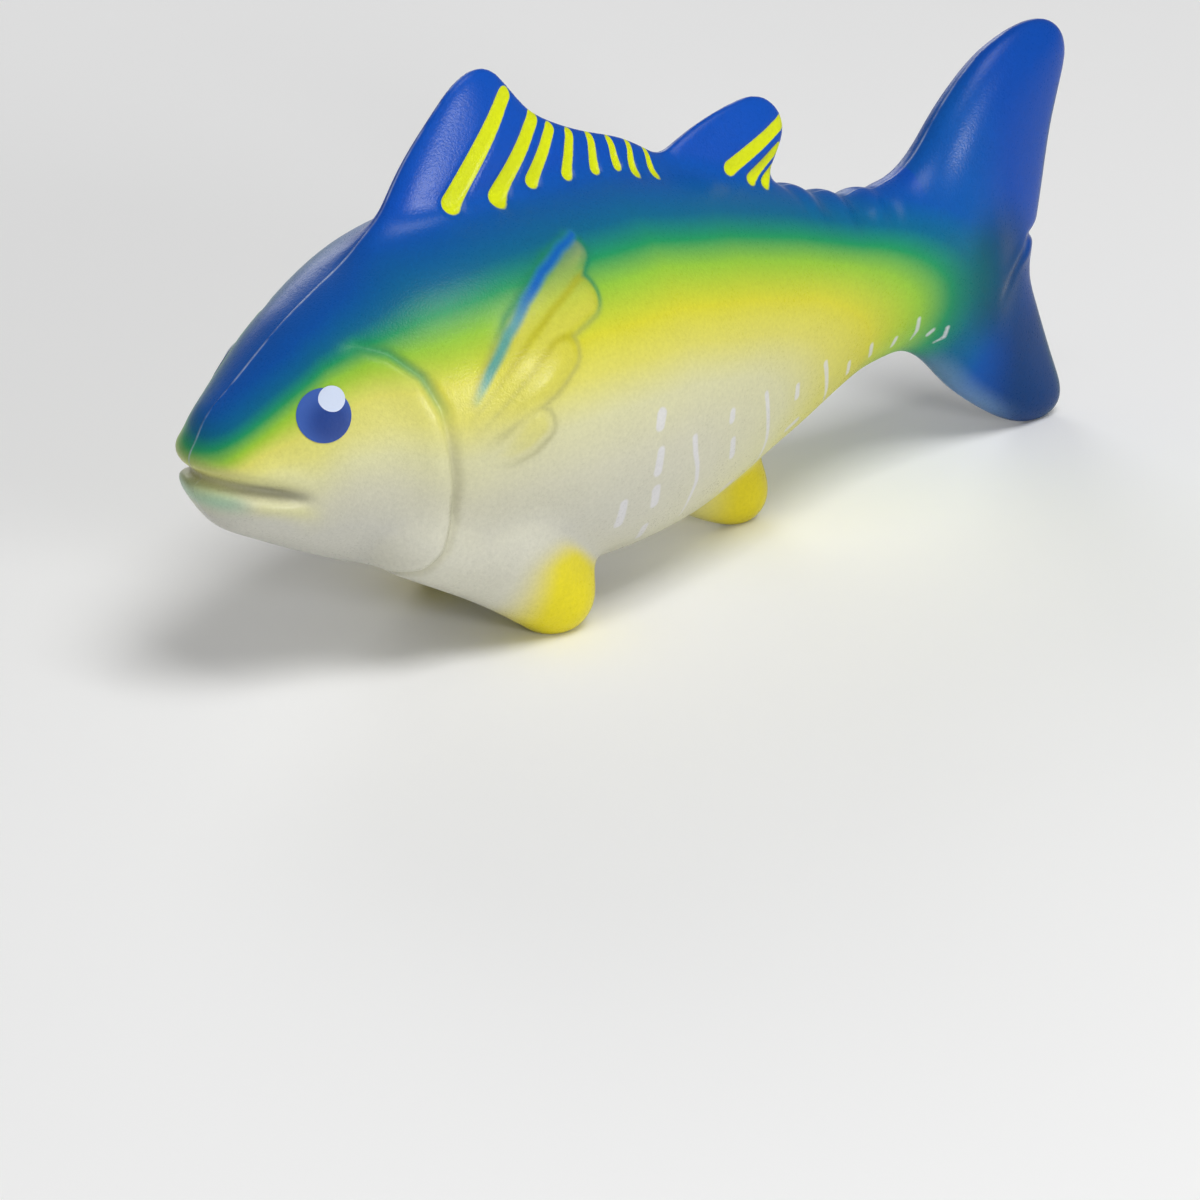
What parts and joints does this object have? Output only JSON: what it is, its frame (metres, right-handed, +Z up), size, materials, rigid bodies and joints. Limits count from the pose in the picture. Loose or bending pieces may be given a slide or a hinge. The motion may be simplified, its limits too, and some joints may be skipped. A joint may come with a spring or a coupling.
{
  "type": "squeeze stress toy fish",
  "caption": "Soft foam fish squeeze toy with a blue back, yellow flanks, pale belly and bendable fins; it stands on its lower fins and tail.",
  "frame": {"origin": "middle of the fish's box on the ground it stands on", "axes": "-X to the nose, +X to the tail, -Y to the fish's left side, +Z up"},
  "size_m": [0.1492, 0.0494, 0.0743],
  "materials": {
    "yellow_foam": "satin moulded foam skin",
    "blue_foam": "satin moulded foam skin",
    "cream_foam": "satin moulded foam skin",
    "green_foam": "satin moulded foam skin",
    "eye_paint": "satin paint on foam",
    "glint_paint": "satin paint on foam"
  },
  "bodies": {
    "trunk": {"head": "yellow_foam", "back": "blue_foam", "belly": "cream_foam", "tail_stock": "green_foam", "foam_core": "cream_foam", "left_eye": "eye_paint", "right_eye": "eye_paint", "left_eye_glint": "glint_paint", "right_eye_glint": "glint_paint", "left_pelvic_fin": "yellow_foam", "right_pelvic_fin": "yellow_foam", "anal_fin": "yellow_foam"},
    "left_side": {"left_flank": "yellow_foam", "left_pectoral_fin": "green_foam"},
    "right_side": {"right_flank": "yellow_foam", "right_pectoral_fin": "green_foam"},
    "first_dorsal": {"first_dorsal_fin": "blue_foam"},
    "second_dorsal": {"second_dorsal_fin": "blue_foam"},
    "tail": {"tail_fin": "blue_foam"}
  },
  "joints": [
    {"name": "squeeze_left", "type": "slide", "parent": "trunk", "child": "left_side", "axis": [0, 1, 0], "range_m": [0, 0.007], "stiffness_N_per_m": 2000, "deforming": ["foam_core"]},
    {"name": "squeeze_right", "type": "slide", "parent": "trunk", "child": "right_side", "axis": [0, -1, 0], "range_m": [0, 0.007], "stiffness_N_per_m": 2000, "deforming": ["foam_core"]},
    {"name": "tail_bend", "type": "hinge", "parent": "trunk", "child": "tail", "pos_m": [0.042, 0, 0.0285], "axis": [0, 0, 1], "range_deg": [-25, 25], "stiffness_Nm_per_rad": 0.2},
    {"name": "first_dorsal_bend", "type": "hinge", "parent": "trunk", "child": "first_dorsal", "pos_m": [-0.0222, 0, 0.0578], "axis": [1, 0, 0], "range_deg": [-30, 30], "stiffness_Nm_per_rad": 0.05},
    {"name": "second_dorsal_bend", "type": "hinge", "parent": "trunk", "child": "second_dorsal", "pos_m": [0.0115, 0, 0.05117], "axis": [0.9367, 0, -0.3502], "range_deg": [-30, 30], "stiffness_Nm_per_rad": 0.05}
  ],
  "couplings": [
    {"joint": "squeeze_right", "follows": "squeeze_left", "ratio": 1}
  ]
}
